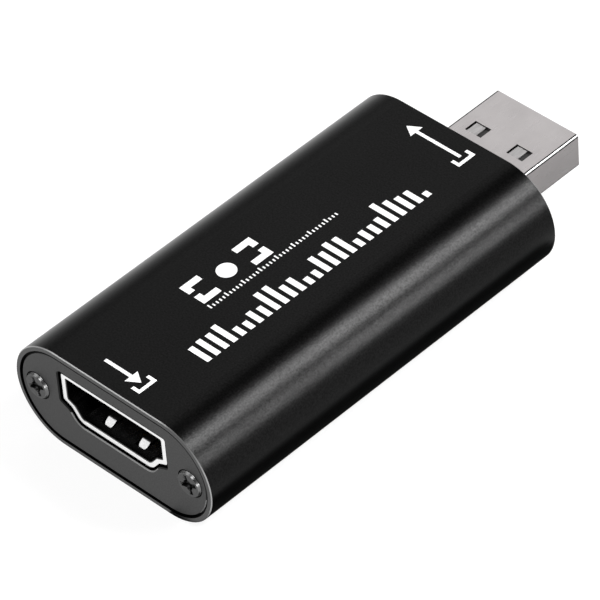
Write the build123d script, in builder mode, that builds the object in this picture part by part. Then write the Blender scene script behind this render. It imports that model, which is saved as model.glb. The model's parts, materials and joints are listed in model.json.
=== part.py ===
from build123d import *
import os

# A small stick that turns an HDMI picture into a USB video stream.
#
# The housing is an extruded aluminium tube that lies on its flat bottom face. The HDMI socket is
# in the front end plate and opens towards -Y, the USB plug stands out of the rear end plate
# towards +Y, and +Z is up. The origin is the middle of the housing's bottom face.

os.makedirs("parts", exist_ok=True)


# Driving dimensions, in millimetres

# Housing: a flat tube with half-round sides, machined at each end to take its plate
housing_length = 52.6
housing_width = 28.8
housing_height = 13.2
housing_wall = 1.1
rim_wall = 0.57
rim_chamfer = 0.1

# End plates, sunk a little below the rim
plate_thickness = 1.0
plate_recess = 0.11
plate_gap = 0.27
plate_edge_chamfer = 0.08
cutout_chamfer = 0.12

# Rails inside the tube: each holds an edge of the board and two screws
rail_gap = 0.85
rail_land = 1.0

# Cross-recessed screws, each in the free side of its plate, beside the HDMI opening
screw_land_share = 0.718
screw_height_share = 0.5
screw_length = 4.4
least_head_diameter = 1.3
head_growth_share = 0.34
shank_diameter_share = 0.48
screw_head_height = 0.76
screw_face_inset = 0.16
screw_face_round = 0.05
screw_bore_clearance = 0.02
screw_hole_clearance = 0.32
screw_bore_spare = 1.0
counterbore_clearance_share = 0.035
counterbore_depth = 0.45
cross_span_share = 0.74
cross_width_share = 0.17
cross_core_share = 0.4
cross_depth = 0.4
cross_taper = 20
cross_turn = 22

# Circuit board
board_thickness = 1.6
board_lift_share = 0.4388
board_front_setback = 4.4
board_wing_setback = 2.9
board_groove_depth = 0.85
board_clearance = 0.05
board_edge_clearance = 0.1

# HDMI socket: the opening is wide at its top and steps in to a narrower floor
port_width = 14.0
port_height = 4.55
port_side = 2.76
port_floor_width = 9.95
port_shoulder_run = 0.97
port_shoulder_drop = 0.42
port_top_corner = 0.15
port_side_corner = 0.2
port_step_bend = 0.8
port_floor_bend = 0.9
port_wall = 0.3
port_depth = 11.8
port_standoff = 0.18
lip_width = 0.64
lip_thickness = 0.4
lip_round = 0.05
mouth_chamfer = 0.12
lip_setback = 0.38
lip_gap = 0.28
leg_length = 0.9
leg_reach = 0.55
leg_slot_clearance = 0.12
front_leg_setback = 5.6
rear_leg_setback = 10.2
solder_height = 0.4
solder_spread = 0.45

# Spring fingers, two in the floor and two in the roof of the socket's shell
finger_width = 1.12
finger_thickness = 0.2
finger_spacing = 5.0
finger_side_gap = 0.2
finger_root_gap = 0.12
finger_tip_setback = 1.11
finger_tip_round = 0.5
finger_crest_setback = 2.08
finger_fold_setback = 4.4
finger_root_setback = 6.7
finger_rise = 0.29
finger_dip = 0.38

# Socket insulator: a block at the back with a tongue that stands forward
tongue_width = 11.4
tongue_thickness = 1.15
tongue_setback = 2.2
tongue_lift = 0.15
tongue_nose_chamfer = 0.25
socket_block_depth = 2.6
insulator_clearance = 0.04

# Socket contacts: ten above the tongue and nine below it, half a pitch apart
contact_pitch = 1.0
upper_contact_count = 10
lower_contact_count = 9
contact_width = 0.32
contact_thickness = 0.15
contact_nose_setback = 0.5
contact_exit = 0.3
contact_foot = 0.9

# USB plug
plug_reach = 13.15
plug_width = 12.0
plug_thickness = 4.5
plug_wall = 0.3
plug_corner = 0.32
plug_inner_corner = 0.1
plug_rise = 0.81
plug_depth = 5.5
plug_hole_gap = 0.15
window_width = 2.32
window_length = 1.8
window_spacing = 6.1
window_setback = 6.3
tab_reach = 1.6
tab_length = 1.8

# USB plug insulator: a slab with raised pads under the windows, and a block behind it
plug_slab_thickness = 1.9
plug_slab_setback = 0.4
plug_cavity_depth = 11.6
pad_width = 1.32
pad_height = 0.2
pad_offset = 0.3
plug_contact_width = 1.0
plug_contact_thickness = 0.2
plug_contact_setback = 1.0
plug_inner_spacing = 2.0
plug_outer_spacing = 7.0
plug_tail = 1.2

# Capture chip under the board, with the pad that takes its heat to the housing
chip_size = 10.0
chip_thickness_share = 0.651
chip_standoff = 0.1
chip_edge = 0.3
chip_leads_per_side = 16
chip_lead_pitch = 0.5
chip_lead_width = 0.22
chip_lead_thickness = 0.13
chip_lead_shoulder = 0.35
chip_lead_foot = 0.5
thermal_pad_size = 8.0

# Memory chip on top of the board
memory_length = 4.9
memory_width = 3.9
memory_thickness = 1.45
memory_leads_per_side = 4
memory_lead_pitch = 1.27
memory_lead_width = 0.42
memory_lead_thickness = 0.2
memory_lead_shoulder = 0.4
memory_lead_foot = 0.6

# Voltage regulator: two leads on one side and three on the other
regulator_length = 2.9
regulator_width = 1.6
regulator_thickness = 1.1
regulator_lead_pitch = 0.95
regulator_lead_width = 0.4
regulator_lead_thickness = 0.15
regulator_lead_shoulder = 0.25
regulator_lead_foot = 0.35

# Clock crystal: an oval can on a plastic base
crystal_length = 11.2
crystal_width = 4.6
crystal_can_height = 2.9
crystal_base_height = 0.8
crystal_base_margin = 0.25
crystal_round = 0.4

# Power inductor
inductor_size = 4.0
inductor_height = 1.8
inductor_corner = 0.7
inductor_groove = 0.25
inductor_flange = 0.45

# Chip capacitors and resistors, each with a metal cap at both ends
large_chip_length = 3.2
large_chip_width = 1.6
large_chip_height = 1.5
small_chip_length = 1.6
small_chip_width = 0.8
capacitor_height = 0.8
resistor_height = 0.45
cap_length = 0.3

# Surge protection arrays beside the HDMI socket
array_length = 2.5
array_width = 1.0
array_height = 0.5
array_count = 4
array_spacing = 3.6
array_setback = 1.6

# Overrun of every cutting shape past the face that it leaves
overrun = 0.5


# Places that follow from the driving dimensions

front_y = -housing_length / 2
rear_y = housing_length / 2
mid_height = housing_height / 2
plate_seat = plate_recess + plate_thickness

# The board stands so that the spare height is shared out under the plug and over the socket
plug_overhang = plug_thickness / 2 - plug_rise - board_thickness / 2
stack_height = plug_overhang + board_thickness + port_standoff + port_height + 2 * port_wall
spare_height = housing_height - 2 * housing_wall - stack_height
board_underside = housing_wall + plug_overhang + board_lift_share * spare_height
board_top = board_underside + board_thickness
board_middle = board_underside + board_thickness / 2

# The rails clear the solder of the socket's legs
port_half = port_width / 2
leg_x = port_half + port_wall / 2
rail_face = leg_x + leg_length / 2 + solder_spread + rail_gap
rail_span = 2 * rail_face
board_width = rail_span + 2 * (board_groove_depth - board_edge_clearance)
board_front = front_y + board_front_setback
plug_back = rear_y - plug_depth
board_rear = plug_back - board_clearance
board_wing_end = rear_y - board_wing_setback

lip_front = front_y + lip_setback
port_bottom = board_top + port_standoff + port_wall
port_middle = port_bottom + port_height / 2
port_top = port_bottom + port_height
port_back = lip_front + port_depth

plug_middle = board_middle + plug_rise
plug_top = plug_middle + plug_thickness / 2
plug_tip = rear_y + plug_reach

cutout_half = port_half + lip_width + lip_gap
plate_side = housing_width / 2 - rim_wall - plate_gap - cutout_half
screw_head_diameter = least_head_diameter + head_growth_share * plate_side
screw_shank_diameter = shank_diameter_share * screw_head_diameter
counterbore_radius = screw_head_diameter / 2 + counterbore_clearance_share * screw_head_diameter
screw_land = screw_land_share * (plate_side - 2 * counterbore_radius)
screw_x = cutout_half + screw_land + counterbore_radius
screw_height = screw_height_share * housing_height
screw_bore_diameter = screw_shank_diameter + 2 * screw_bore_clearance
cross_span = cross_span_share * screw_head_diameter
cross_width = cross_width_share * screw_head_diameter
cross_core = cross_core_share * screw_head_diameter / 2


def front_plane(y):
    """A plane across the stick that looks at the front end, with X to the right and Z up."""
    return Plane(origin=(0, y, 0), x_dir=(1, 0, 0), z_dir=(0, -1, 0))


def rear_plane(y):
    """A plane across the stick that looks at the rear end, with X to the left and Z up."""
    return Plane(origin=(0, y, 0), x_dir=(-1, 0, 0), z_dir=(0, 1, 0))


def mirrored(x, height):
    """The same height on both sides of the middle plane."""
    return (-x, height), (x, height)


# Housing tube

rail_bottom = board_underside - board_clearance - rail_land
rail_top = screw_height + screw_bore_diameter / 2 + rail_land
rail_depth = housing_width / 2 - rail_face
groove_height = board_thickness + 2 * board_clearance
screw_bore_depth = screw_length - (plate_thickness - counterbore_depth) + screw_bore_spare

with BuildPart() as housing_tube:
    with BuildSketch(front_plane(front_y)):
        with Locations((0, mid_height)):
            SlotOverall(housing_width, housing_height)
            SlotOverall(
                housing_width - 2 * housing_wall, housing_height - 2 * housing_wall, mode=Mode.SUBTRACT
            )
    extrude(amount=-housing_length)
    # The rails are part of the extrusion, so they have its full length before machining
    with BuildSketch(front_plane(front_y)):
        with Locations(*mirrored(rail_face + rail_depth / 2, (rail_bottom + rail_top) / 2)):
            Rectangle(rail_depth, rail_top - rail_bottom)
        with Locations((0, mid_height)):
            SlotOverall(
                housing_width - housing_wall, housing_height - housing_wall, mode=Mode.INTERSECT
            )
        with Locations(*mirrored(rail_face, board_middle)):
            Rectangle(2 * board_groove_depth, groove_height, mode=Mode.SUBTRACT)
    extrude(amount=-housing_length)
    # Each end is bored out to a thin rim, and the step behind it is the plate's seat
    for end_plane in (front_plane(front_y), rear_plane(rear_y)):
        with BuildSketch(end_plane):
            with Locations((0, mid_height)):
                SlotOverall(housing_width - 2 * rim_wall, housing_height - 2 * rim_wall)
        extrude(amount=-plate_seat, mode=Mode.SUBTRACT)
        with Locations(end_plane.offset(-plate_seat)):
            with Locations(*mirrored(screw_x, screw_height)):
                Hole(screw_bore_diameter / 2, depth=screw_bore_depth)
    for end_face in (housing_tube.faces().sort_by(Axis.Y)[0], housing_tube.faces().sort_by(Axis.Y)[-1]):
        chamfer(end_face.outer_wire().edges(), length=rim_chamfer)
housing_tube.part.label = "housing_tube"
export_step(housing_tube.part, "parts/housing_tube.step")


# HDMI opening, drawn as it is seen from the front and centred on its own middle

port_shoulder_height = port_height / 2 - port_side
port_step_x = port_half - port_shoulder_run
port_step_height = port_shoulder_height - port_shoulder_drop

# The corners of its right half, from the top down, with their radii
port_corners = (
    (port_half, port_height / 2),
    (port_half, port_shoulder_height),
    (port_step_x, port_step_height),
    (port_floor_width / 2, -port_height / 2),
)
port_radii = (port_top_corner, port_side_corner, port_step_bend, port_floor_bend)
radius_growth_shares = (0.5, 0.1, 0.3, 0.8)


def port_outline(growth):
    """The opening's outline, grown outwards all round, or shrunk if growth is negative."""
    with BuildSketch() as sharp_outline:
        Polygon(*port_corners, *[(-x, y) for x, y in reversed(port_corners)], align=None)
        if growth:
            offset(amount=growth, kind=Kind.INTERSECTION)
    right_half = [v for v in sharp_outline.vertices() if v.X > 0]
    corners = [(v.X, v.Y) for v in sorted(right_half, key=lambda v: -v.Y)]
    with BuildSketch() as outline:
        with BuildLine():
            FilletPolyline(
                (0, corners[0][1]),
                *corners,
                (0, corners[-1][1]),
                radius=[r + share * growth for r, share in zip(port_radii, radius_growth_shares)],
            )
            mirror(about=Plane.YZ)
        make_face()
    return outline.sketch


port_opening = port_outline(0)
lip_outline = port_outline(lip_width)
shell_outline = port_outline(port_wall)
cutout_outline = port_outline(lip_width + lip_gap)
block_outline = port_outline(-insulator_clearance)


# End plates


def end_plate(plane, cutout, cutout_height):
    """A plate whose face lies on the plane, with its cut-out and two counterbored screw holes."""
    with BuildPart() as plate:
        with BuildSketch(plane):
            with Locations((0, mid_height)):
                SlotOverall(
                    housing_width - 2 * (rim_wall + plate_gap),
                    housing_height - 2 * (rim_wall + plate_gap),
                )
            with Locations((0, cutout_height)):
                add(cutout, mode=Mode.SUBTRACT)
        extrude(amount=-plate_thickness)
        outwards = Axis(plane.origin, plane.z_dir)
        chamfer(plate.faces().sort_by(outwards)[-1].outer_wire().edges(), length=plate_edge_chamfer)
        for cutout_wire in plate.faces().sort_by(outwards)[-1].inner_wires():
            chamfer(cutout_wire.edges(), length=cutout_chamfer)
        with Locations(plane):
            with Locations(*mirrored(screw_x, screw_height)):
                CounterBoreHole(
                    radius=screw_shank_diameter / 2 + screw_hole_clearance,
                    counter_bore_radius=counterbore_radius,
                    counter_bore_depth=counterbore_depth,
                    depth=plate_thickness,
                )
    return plate.part


with BuildSketch() as plug_cutout:
    RectangleRounded(
        plug_width + 2 * plug_hole_gap,
        plug_thickness + 2 * plug_hole_gap,
        plug_corner + plug_hole_gap,
    )

front_plate_plane = front_plane(front_y + plate_recess)
rear_plate_plane = rear_plane(rear_y - plate_recess)

front_plate = end_plate(front_plate_plane, cutout_outline, port_middle)
front_plate.label = "front_plate"
export_step(front_plate, "parts/front_plate.step")

rear_plate = end_plate(rear_plate_plane, plug_cutout.sketch, plug_middle)
rear_plate.label = "rear_plate"
export_step(rear_plate, "parts/rear_plate.step")


# Screws: each node is the pair that holds one plate

head_radius = screw_head_diameter / 2
head_top = screw_head_height - counterbore_depth


def screw_pair(plane):
    """Two screws whose heads fill the counterbores of a plate and narrow above its face."""
    with BuildPart() as pair:
        with Locations(plane):
            with Locations(*mirrored(screw_x, screw_height)):
                Cone(
                    bottom_radius=head_radius,
                    top_radius=head_radius - screw_face_inset,
                    height=head_top,
                    align=(Align.CENTER, Align.CENTER, Align.MIN),
                )
        with Locations(plane.offset(-counterbore_depth)):
            with Locations(*mirrored(screw_x, screw_height)):
                Cylinder(
                    head_radius, counterbore_depth, align=(Align.CENTER, Align.CENTER, Align.MIN)
                )
                Cylinder(
                    screw_shank_diameter / 2,
                    screw_length,
                    align=(Align.CENTER, Align.CENTER, Align.MAX),
                )
        head_faces = pair.faces().group_by(Axis(plane.origin, plane.z_dir))[-1]
        fillet(head_faces.edges(), radius=screw_face_round)
        with BuildSketch(plane.offset(head_top)):
            with Locations(*mirrored(screw_x, screw_height)):
                Circle(cross_core)
                for turn in (cross_turn, cross_turn + 90):
                    Rectangle(cross_span, cross_width, rotation=turn)
        extrude(amount=-cross_depth, taper=cross_taper, mode=Mode.SUBTRACT)
    return pair.part


front_screws = screw_pair(front_plate_plane)
front_screws.label = "front_screws"
export_step(front_screws, "parts/front_screws.step")

rear_screws = screw_pair(rear_plate_plane)
rear_screws.label = "rear_screws"
export_step(rear_screws, "parts/rear_screws.step")


# Circuit board: its long edges run in the grooves, and its rear end forks round the plug

leg_ys = (lip_front + front_leg_setback, lip_front + rear_leg_setback)
leg_places = [(side * leg_x, y) for side in (-1, 1) for y in leg_ys]
fork_width = plug_width + 2 * plug_hole_gap

with BuildPart() as circuit_board:
    with BuildSketch(Plane.XY.offset(board_underside)):
        with Locations((0, board_front)):
            Rectangle(
                board_width, board_wing_end - board_front, align=(Align.CENTER, Align.MIN)
            )
        with Locations((0, board_rear)):
            Rectangle(
                fork_width,
                board_wing_end - board_rear + overrun,
                align=(Align.CENTER, Align.MIN),
                mode=Mode.SUBTRACT,
            )
        with Locations(*leg_places):
            Rectangle(
                port_wall + 2 * leg_slot_clearance,
                leg_length + 2 * leg_slot_clearance,
                mode=Mode.SUBTRACT,
            )
    extrude(amount=board_thickness)
circuit_board.part.label = "circuit_board"
export_step(circuit_board.part, "parts/circuit_board.step")


# HDMI socket shell: one piece of bent sheet with a lip, four legs and four finger slots

finger_xs = (-finger_spacing / 2, finger_spacing / 2)
slot_width = finger_width + 2 * finger_side_gap
slot_front = lip_front + finger_tip_setback - finger_root_gap
slot_back = lip_front + finger_root_setback + finger_root_gap
shoulder_height = port_middle + port_shoulder_height

with BuildPart() as hdmi_shell:
    with BuildSketch(front_plane(lip_front)):
        with Locations((0, port_middle)):
            add(shell_outline)
    extrude(amount=-port_depth)
    with BuildSketch(front_plane(lip_front)):
        with Locations((0, port_middle)):
            add(lip_outline)
    extrude(amount=-lip_thickness)
    lip_face = hdmi_shell.faces().sort_by(Axis.Y)[0]
    fillet(lip_face.outer_wire().edges(), radius=lip_round)
    with Locations(*[(x, y, shoulder_height) for x, y in leg_places]):
        Box(
            port_wall,
            leg_length,
            shoulder_height - board_underside + leg_reach,
            align=(Align.CENTER, Align.CENTER, Align.MAX),
        )
    with BuildSketch(front_plane(lip_front - overrun)):
        with Locations((0, port_middle)):
            add(port_opening)
    extrude(amount=-(port_depth + 2 * overrun), mode=Mode.SUBTRACT)
    mouth_face = hdmi_shell.faces().sort_by(Axis.Y)[0]
    chamfer(mouth_face.inner_wires()[0].edges(), length=mouth_chamfer)
    for wall_height in (port_bottom - port_wall / 2, port_top + port_wall / 2):
        with Locations(*[(x, slot_front, wall_height) for x in finger_xs]):
            Box(
                slot_width,
                slot_back - slot_front,
                port_wall + 2 * overrun,
                align=(Align.CENTER, Align.MIN, Align.CENTER),
                mode=Mode.SUBTRACT,
            )
hdmi_shell.part.label = "hdmi_shell"
export_step(hdmi_shell.part, "parts/hdmi_shell.step")


# Spring fingers: each rises out of its slot to a crest, and its tip dips back below the wall

finger_tip = lip_front + finger_tip_setback
finger_crest = lip_front + finger_crest_setback
finger_fold = lip_front + finger_fold_setback
finger_root = lip_front + finger_root_setback


def spring_finger(x, wall_face, inwards):
    """A bent strip at x. wall_face is the height of the wall's inner face, inwards is +1 or -1."""
    seat = wall_face - inwards * (port_wall - finger_thickness) / 2
    back = inwards * finger_thickness
    crest = wall_face + inwards * finger_rise
    tip = wall_face - inwards * finger_dip
    with BuildPart() as finger:
        with BuildSketch(Plane.YZ.offset(x - finger_width / 2)):
            with BuildLine():
                Polyline(
                    (finger_root, seat),
                    (finger_fold, seat),
                    (finger_crest, crest),
                    (finger_tip, tip),
                    (finger_tip, tip - back),
                    (finger_crest, crest - back),
                    (finger_fold, seat - back),
                    (finger_root, seat - back),
                    close=True,
                )
            make_face()
        extrude(amount=finger_width)
        crest_edges = finger.edges().filter_by(Axis.X).group_by(Axis.Y)[1]
        fillet(crest_edges, radius=2 * finger_thickness)
        # In plan the strip has a rounded tip, and its root is cut square
        with BuildSketch(Plane.XY):
            with Locations((x, finger_tip)):
                RectangleRounded(
                    finger_width,
                    finger_root - finger_tip + 2 * finger_tip_round,
                    finger_tip_round,
                    align=(Align.CENTER, Align.MIN),
                )
        extrude(amount=housing_height, mode=Mode.INTERSECT)
    return finger.part


for side, x in zip(("left", "right"), finger_xs):
    for level, wall_face, inwards in (("lower", port_bottom, 1), ("upper", port_top, -1)):
        name = f"{level}_{side}_finger"
        finger = spring_finger(x, wall_face, inwards)
        finger.label = name
        export_step(finger, f"parts/{name}.step")


# HDMI contacts: along the tongue, through the block, down its back and out on to the board

tongue_middle = port_middle + tongue_lift
tongue_front = lip_front + tongue_setback
contact_front = tongue_front + contact_nose_setback
contact_drop = port_back + contact_exit


def contact_row(count, face_height, inwards):
    """A row of strips let into one face of the tongue. inwards points from that face to its core."""
    low = min(face_height, face_height + inwards * contact_thickness)
    for number in range(count):
        x = (number - (count - 1) / 2) * contact_pitch
        with Locations((x, contact_front, low)):
            Box(
                contact_width,
                contact_drop - contact_front,
                contact_thickness,
                align=(Align.CENTER, Align.MIN, Align.MIN),
            )
        with Locations((x, contact_drop, board_top)):
            Box(
                contact_width,
                contact_thickness,
                low + contact_thickness - board_top,
                align=(Align.CENTER, Align.MAX, Align.MIN),
            )
            Box(
                contact_width,
                contact_foot,
                contact_thickness,
                align=(Align.CENTER, Align.MIN, Align.MIN),
            )


with BuildPart() as hdmi_upper_contacts:
    contact_row(upper_contact_count, tongue_middle + tongue_thickness / 2, -1)
hdmi_upper_contacts.part.label = "hdmi_upper_contacts"
export_step(hdmi_upper_contacts.part, "parts/hdmi_upper_contacts.step")

with BuildPart() as hdmi_lower_contacts:
    contact_row(lower_contact_count, tongue_middle - tongue_thickness / 2, 1)
hdmi_lower_contacts.part.label = "hdmi_lower_contacts"
export_step(hdmi_lower_contacts.part, "parts/hdmi_lower_contacts.step")


# HDMI insulator: the tongue and its block, with a channel for every contact

with BuildPart() as hdmi_insulator:
    with BuildSketch(front_plane(port_back - socket_block_depth)):
        with Locations((0, port_middle)):
            add(block_outline)
    extrude(amount=-socket_block_depth)
    with Locations((0, tongue_front, tongue_middle)):
        Box(
            tongue_width,
            port_back - tongue_front,
            tongue_thickness,
            align=(Align.CENTER, Align.MIN, Align.CENTER),
        )
    nose_edges = hdmi_insulator.edges().group_by(Axis.Y)[0].filter_by(Axis.X)
    chamfer(nose_edges, length=tongue_nose_chamfer)
    add(hdmi_upper_contacts.part, mode=Mode.SUBTRACT)
    add(hdmi_lower_contacts.part, mode=Mode.SUBTRACT)
hdmi_insulator.part.label = "hdmi_insulator"
export_step(hdmi_insulator.part, "parts/hdmi_insulator.step")


# Solder under the board, round the legs of the HDMI shell

with BuildPart() as leg_solder:
    with Locations(*[(x, y, board_underside) for x, y in leg_places]):
        Cone(
            bottom_radius=leg_length / 2 + leg_slot_clearance,
            top_radius=leg_length / 2 + solder_spread,
            height=solder_height,
            align=(Align.CENTER, Align.CENTER, Align.MAX),
        )
        Box(port_wall, leg_length, 4 * solder_height, mode=Mode.SUBTRACT)
leg_solder.part.label = "leg_solder"
export_step(leg_solder.part, "parts/leg_solder.step")


# USB plug shell: a folded steel sleeve with windows in both faces and a solder tab on each side

plug_length = plug_tip - plug_back
window_xs = (-window_spacing / 2, window_spacing / 2)
window_y = plug_tip - window_setback

with BuildPart() as usb_shell:
    with BuildSketch(rear_plane(plug_tip)):
        with Locations((0, plug_middle)):
            RectangleRounded(plug_width, plug_thickness, plug_corner)
            RectangleRounded(
                plug_width - 2 * plug_wall,
                plug_thickness - 2 * plug_wall,
                plug_inner_corner,
                mode=Mode.SUBTRACT,
            )
    extrude(amount=-plug_length)
    with Locations(*[(x, window_y, plug_middle) for x in window_xs]):
        Box(window_width, window_length, plug_thickness + 2 * overrun, mode=Mode.SUBTRACT)
    for side in (-1, 1):
        with Locations((side * (plug_width / 2 - plug_wall / 2), plug_back, board_top)):
            Box(
                plug_wall + 2 * tab_reach,
                tab_length,
                plug_wall,
                align=(Align.CENTER, Align.MIN, Align.MIN),
            )
    with BuildSketch(rear_plane(plug_tip)):
        with Locations((0, plug_middle)):
            RectangleRounded(
                plug_width - 2 * plug_wall, plug_thickness - 2 * plug_wall, plug_inner_corner
            )
    extrude(amount=-plug_length, mode=Mode.SUBTRACT)
usb_shell.part.label = "usb_shell"
export_step(usb_shell.part, "parts/usb_shell.step")


# USB contacts: four strips let into the lower face of the slab, with tails on the board

slab_top = plug_top - plug_wall - insulator_clearance
slab_bottom = slab_top - plug_slab_thickness
plug_contact_xs = [
    side * spacing / 2 for spacing in (plug_inner_spacing, plug_outer_spacing) for side in (-1, 1)
]

with BuildPart() as usb_contacts:
    with Locations(*[(x, plug_tip - plug_contact_setback, slab_bottom) for x in plug_contact_xs]):
        Box(
            plug_contact_width,
            plug_length - plug_contact_setback + board_clearance,
            plug_contact_thickness,
            align=(Align.CENTER, Align.MAX, Align.MIN),
        )
    with Locations(*[(x, board_rear, board_top) for x in plug_contact_xs]):
        Box(
            plug_contact_width,
            plug_tail,
            plug_contact_thickness,
            align=(Align.CENTER, Align.MAX, Align.MIN),
        )
    with Locations(*[(x, board_rear, slab_bottom) for x in plug_contact_xs]):
        Box(
            plug_contact_width,
            board_clearance,
            board_top + plug_contact_thickness - slab_bottom,
            align=(Align.CENTER, Align.MIN, Align.MIN),
        )
usb_contacts.part.label = "usb_contacts"
export_step(usb_contacts.part, "parts/usb_contacts.step")


# USB insulator: the slab with its window pads, and the block that closes the sleeve

block_width = plug_width - 2 * (plug_wall + insulator_clearance)
block_height = plug_thickness - 2 * (plug_wall + insulator_clearance)
cavity_back = plug_tip - plug_cavity_depth

with BuildPart() as usb_insulator:
    with Locations((0, plug_tip - plug_slab_setback, slab_top)):
        Box(
            block_width,
            plug_length - plug_slab_setback,
            plug_slab_thickness,
            align=(Align.CENTER, Align.MAX, Align.MAX),
        )
    with Locations((0, cavity_back, plug_middle)):
        Box(
            block_width,
            cavity_back - plug_back,
            block_height,
            align=(Align.CENTER, Align.MAX, Align.CENTER),
        )
    with Locations(*[(x - pad_offset, window_y, slab_top) for x in window_xs]):
        Box(
            pad_width,
            window_length - 2 * insulator_clearance,
            pad_height,
            align=(Align.CENTER, Align.CENTER, Align.MIN),
        )
    add(usb_contacts.part, mode=Mode.SUBTRACT)
usb_insulator.part.label = "usb_insulator"
export_step(usb_insulator.part, "parts/usb_insulator.step")


# Bent leads, and the places of the components on the board

# The free run of the board between the two connectors
run_front = port_back + contact_exit + contact_foot
run_rear = board_rear - plug_tail
run_length = run_rear - run_front
run_middle = (run_front + run_rear) / 2


def on_board(place_shares):
    """A place on the board, from shares of its width and of its free run, from the middle."""
    return place_shares[0] * board_width, run_middle + place_shares[1] * run_length


def bent_lead(width, thickness, rise, shoulder, foot):
    """One lead that leaves a body at x = 0, bends down and stands on z = 0."""
    knee = shoulder - thickness
    with BuildPart() as lead:
        with BuildSketch(Plane.XZ.offset(-width / 2)):
            with BuildLine():
                Polyline(
                    (0, rise),
                    (knee, rise),
                    (knee, 0),
                    (knee + foot, 0),
                    (knee + foot, thickness),
                    (shoulder, thickness),
                    (shoulder, rise + thickness),
                    (0, rise + thickness),
                    close=True,
                )
            make_face()
        extrude(amount=width)
    return lead.part


def lead_places(body, turn, reach, count, pitch):
    """Places for a row of leads along one side of a body, turned about the body's own axis."""
    return [
        body * Location((0, 0, 0), (0, 0, turn)) * Location((reach, (n - (count - 1) / 2) * pitch, 0))
        for n in range(count)
    ]


# Capture chip: a square package with leads on all four sides, upside down under the board

chip_x, chip_y = on_board((0, 0))
chip_thickness = chip_thickness_share * (board_underside - housing_wall)
chip_frame = Location((chip_x, chip_y, board_underside), (180, 0, 0))
chip_face = board_underside - chip_standoff - chip_thickness
chip_lead_rise = chip_standoff + (chip_thickness - chip_lead_thickness) / 2

with BuildPart() as capture_chip:
    with Locations((chip_x, chip_y, board_underside - chip_standoff)):
        Box(chip_size, chip_size, chip_thickness, align=(Align.CENTER, Align.CENTER, Align.MAX))
    chamfer(capture_chip.edges().filter_by(Axis.Z), length=chip_edge)
capture_chip.part.label = "capture_chip"
export_step(capture_chip.part, "parts/capture_chip.step")

chip_lead = bent_lead(
    chip_lead_width, chip_lead_thickness, chip_lead_rise, chip_lead_shoulder, chip_lead_foot
)
with BuildPart() as capture_chip_leads:
    for turn in range(0, 360, 90):
        places = lead_places(chip_frame, turn, chip_size / 2, chip_leads_per_side, chip_lead_pitch)
        with Locations(*places):
            add(chip_lead)
capture_chip_leads.part.label = "capture_chip_leads"
export_step(capture_chip_leads.part, "parts/capture_chip_leads.step")

with BuildPart() as thermal_pad:
    with Locations((chip_x, chip_y, housing_wall)):
        Box(
            thermal_pad_size,
            thermal_pad_size,
            chip_face - housing_wall,
            align=(Align.CENTER, Align.CENTER, Align.MIN),
        )
thermal_pad.part.label = "thermal_pad"
export_step(thermal_pad.part, "parts/thermal_pad.step")


# Memory chip, on top of the board

memory_shares = (-0.25, 0.28)
memory_x, memory_y = on_board(memory_shares)
memory_frame = Location((memory_x, memory_y, board_top), (0, 0, 90))
memory_lead_rise = chip_standoff + (memory_thickness - memory_lead_thickness) / 2

with BuildPart() as memory_chip:
    with Locations((memory_x, memory_y, board_top + chip_standoff)):
        Box(
            memory_length,
            memory_width,
            memory_thickness,
            align=(Align.CENTER, Align.CENTER, Align.MIN),
        )
memory_chip.part.label = "memory_chip"
export_step(memory_chip.part, "parts/memory_chip.step")

memory_lead = bent_lead(
    memory_lead_width,
    memory_lead_thickness,
    memory_lead_rise,
    memory_lead_shoulder,
    memory_lead_foot,
)
with BuildPart() as memory_chip_leads:
    for turn in (0, 180):
        places = lead_places(
            memory_frame, turn, memory_width / 2, memory_leads_per_side, memory_lead_pitch
        )
        with Locations(*places):
            add(memory_lead)
memory_chip_leads.part.label = "memory_chip_leads"
export_step(memory_chip_leads.part, "parts/memory_chip_leads.step")


# Voltage regulator

regulator_shares = (0.3, 0.36)
regulator_x, regulator_y = on_board(regulator_shares)
regulator_frame = Location((regulator_x, regulator_y, board_top), (0, 0, 90))
regulator_lead_rise = chip_standoff + (regulator_thickness - regulator_lead_thickness) / 2

with BuildPart() as voltage_regulator:
    with Locations((regulator_x, regulator_y, board_top + chip_standoff)):
        Box(
            regulator_length,
            regulator_width,
            regulator_thickness,
            align=(Align.CENTER, Align.CENTER, Align.MIN),
        )
voltage_regulator.part.label = "voltage_regulator"
export_step(voltage_regulator.part, "parts/voltage_regulator.step")

regulator_lead = bent_lead(
    regulator_lead_width,
    regulator_lead_thickness,
    regulator_lead_rise,
    regulator_lead_shoulder,
    regulator_lead_foot,
)
with BuildPart() as regulator_leads:
    # Two leads stand at the outer places of one side, and three fill the other side
    for turn, count, pitch in ((0, 2, 2 * regulator_lead_pitch), (180, 3, regulator_lead_pitch)):
        with Locations(*lead_places(regulator_frame, turn, regulator_width / 2, count, pitch)):
            add(regulator_lead)
regulator_leads.part.label = "regulator_leads"
export_step(regulator_leads.part, "parts/regulator_leads.step")


# Clock crystal

crystal_shares = (0, 0.02)
crystal_x, crystal_y = on_board(crystal_shares)

with BuildPart() as crystal_base:
    with Locations((crystal_x, crystal_y, board_top)):
        Box(
            crystal_length + 2 * crystal_base_margin,
            crystal_width + 2 * crystal_base_margin,
            crystal_base_height,
            align=(Align.CENTER, Align.CENTER, Align.MIN),
        )
crystal_base.part.label = "crystal_base"
export_step(crystal_base.part, "parts/crystal_base.step")

with BuildPart() as crystal_can:
    with BuildSketch(Plane.XY.offset(board_top + crystal_base_height)):
        with Locations((crystal_x, crystal_y)):
            SlotOverall(crystal_length, crystal_width)
    extrude(amount=crystal_can_height)
    fillet(crystal_can.faces().sort_by(Axis.Z)[-1].edges(), radius=crystal_round)
crystal_can.part.label = "crystal_can"
export_step(crystal_can.part, "parts/crystal_can.step")


# Power inductor: a moulded drum between two square flanges

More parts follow.
